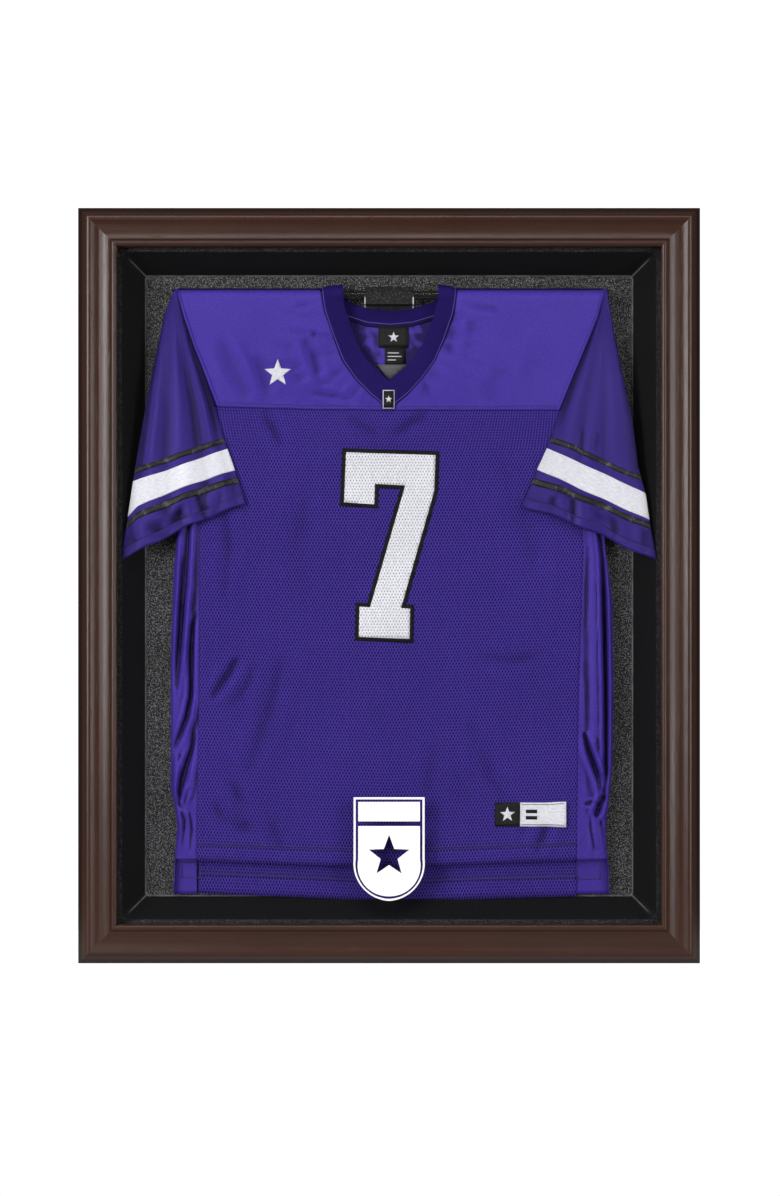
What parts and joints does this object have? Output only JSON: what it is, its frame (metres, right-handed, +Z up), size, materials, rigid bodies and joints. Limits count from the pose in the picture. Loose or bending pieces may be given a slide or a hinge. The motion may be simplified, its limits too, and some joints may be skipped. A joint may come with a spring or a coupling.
{
  "type": "jersey display case",
  "caption": "Wall-hung display case with a mitred wooden door, clear acrylic front, sloping black tray and a sports jersey on a clear rod.",
  "frame": {"origin": "centre of the case's back, on the wall plane", "axes": "+Z up, +Y into the wall, so the front looks along -Y and +X is to the viewer's right"},
  "size_m": [0.876, 0.076, 1.064],
  "materials": {
    "mahogany": "satin lacquer",
    "black_rail": "black stain",
    "hardboard": "smooth face",
    "clear_acrylic": "polished",
    "clear_rod": "polished",
    "black_tray": "hair-cell texture",
    "black_felt": "felt",
    "smoke_hook": "moulded gloss",
    "zinc_steel": "zinc plated",
    "black_steel": "black enamel",
    "white_print": "screen print",
    "purple_mesh": "knitted mesh",
    "purple_satin": "dazzle satin",
    "white_twill": "twill",
    "black_twill": "satin woven"
  },
  "bodies": {
    "case": {"box_rail_top": "black_rail", "box_rail_bottom": "black_rail", "box_rail_left": "black_rail", "box_rail_right": "black_rail", "hanging_rail": "black_rail", "back_board": "hardboard", "back_tray": "black_tray", "dust_seal": "black_felt", "rod_hook": "smoke_hook", "keyhole_plates": "zinc_steel", "keyhole_screws": "zinc_steel", "corner_screws": "zinc_steel", "hanging_rail_screws": "zinc_steel", "back_board_screws": "zinc_steel", "tray_screws": "black_steel", "rod_hook_screws": "black_steel", "hinge_case_leaves": "zinc_steel", "hinge_case_screws": "zinc_steel", "hinge_pins": "zinc_steel", "latch_pivots": "black_steel"},
    "door": {"door_rail_top": "mahogany", "door_rail_bottom": "mahogany", "door_stile_left": "mahogany", "door_stile_right": "mahogany", "v_nails": "zinc_steel", "glazing_points": "zinc_steel", "acrylic_front": "clear_acrylic", "emblem_print": "white_print", "hinge_door_leaves": "zinc_steel", "hinge_door_screws": "zinc_steel", "latch_strikes": "black_steel", "latch_strike_screws": "black_steel"},
    "upper_latch": {"upper_latch_hook": "black_steel"},
    "lower_latch": {"lower_latch_hook": "black_steel"},
    "hanger": {"hanging_rod": "clear_rod", "jersey_front": "purple_mesh", "jersey_back": "purple_mesh", "jersey_sleeve_left": "purple_satin", "jersey_sleeve_right": "purple_satin", "jersey_number": "white_twill", "jersey_size_tag": "white_twill"}
  },
  "joints": [
    {"name": "door_swing", "type": "hinge", "parent": "case", "child": "door", "pos_m": [-0.4212, -0.0478, 0], "axis": [0, 0, -1], "range_deg": [0, 100]},
    {"name": "upper_latch_turn", "type": "hinge", "parent": "case", "child": "upper_latch", "pos_m": [0.4204, -0.021, 0.25], "axis": [-1, 0, 0], "range_deg": [0, 90]},
    {"name": "lower_latch_turn", "type": "hinge", "parent": "case", "child": "lower_latch", "pos_m": [0.4204, -0.021, -0.25], "axis": [-1, 0, 0], "range_deg": [0, 90]},
    {"name": "rod_lift", "type": "slide", "parent": "case", "child": "hanger", "axis": [0, 0, 1], "range_m": [0, 0.012]}
  ]
}
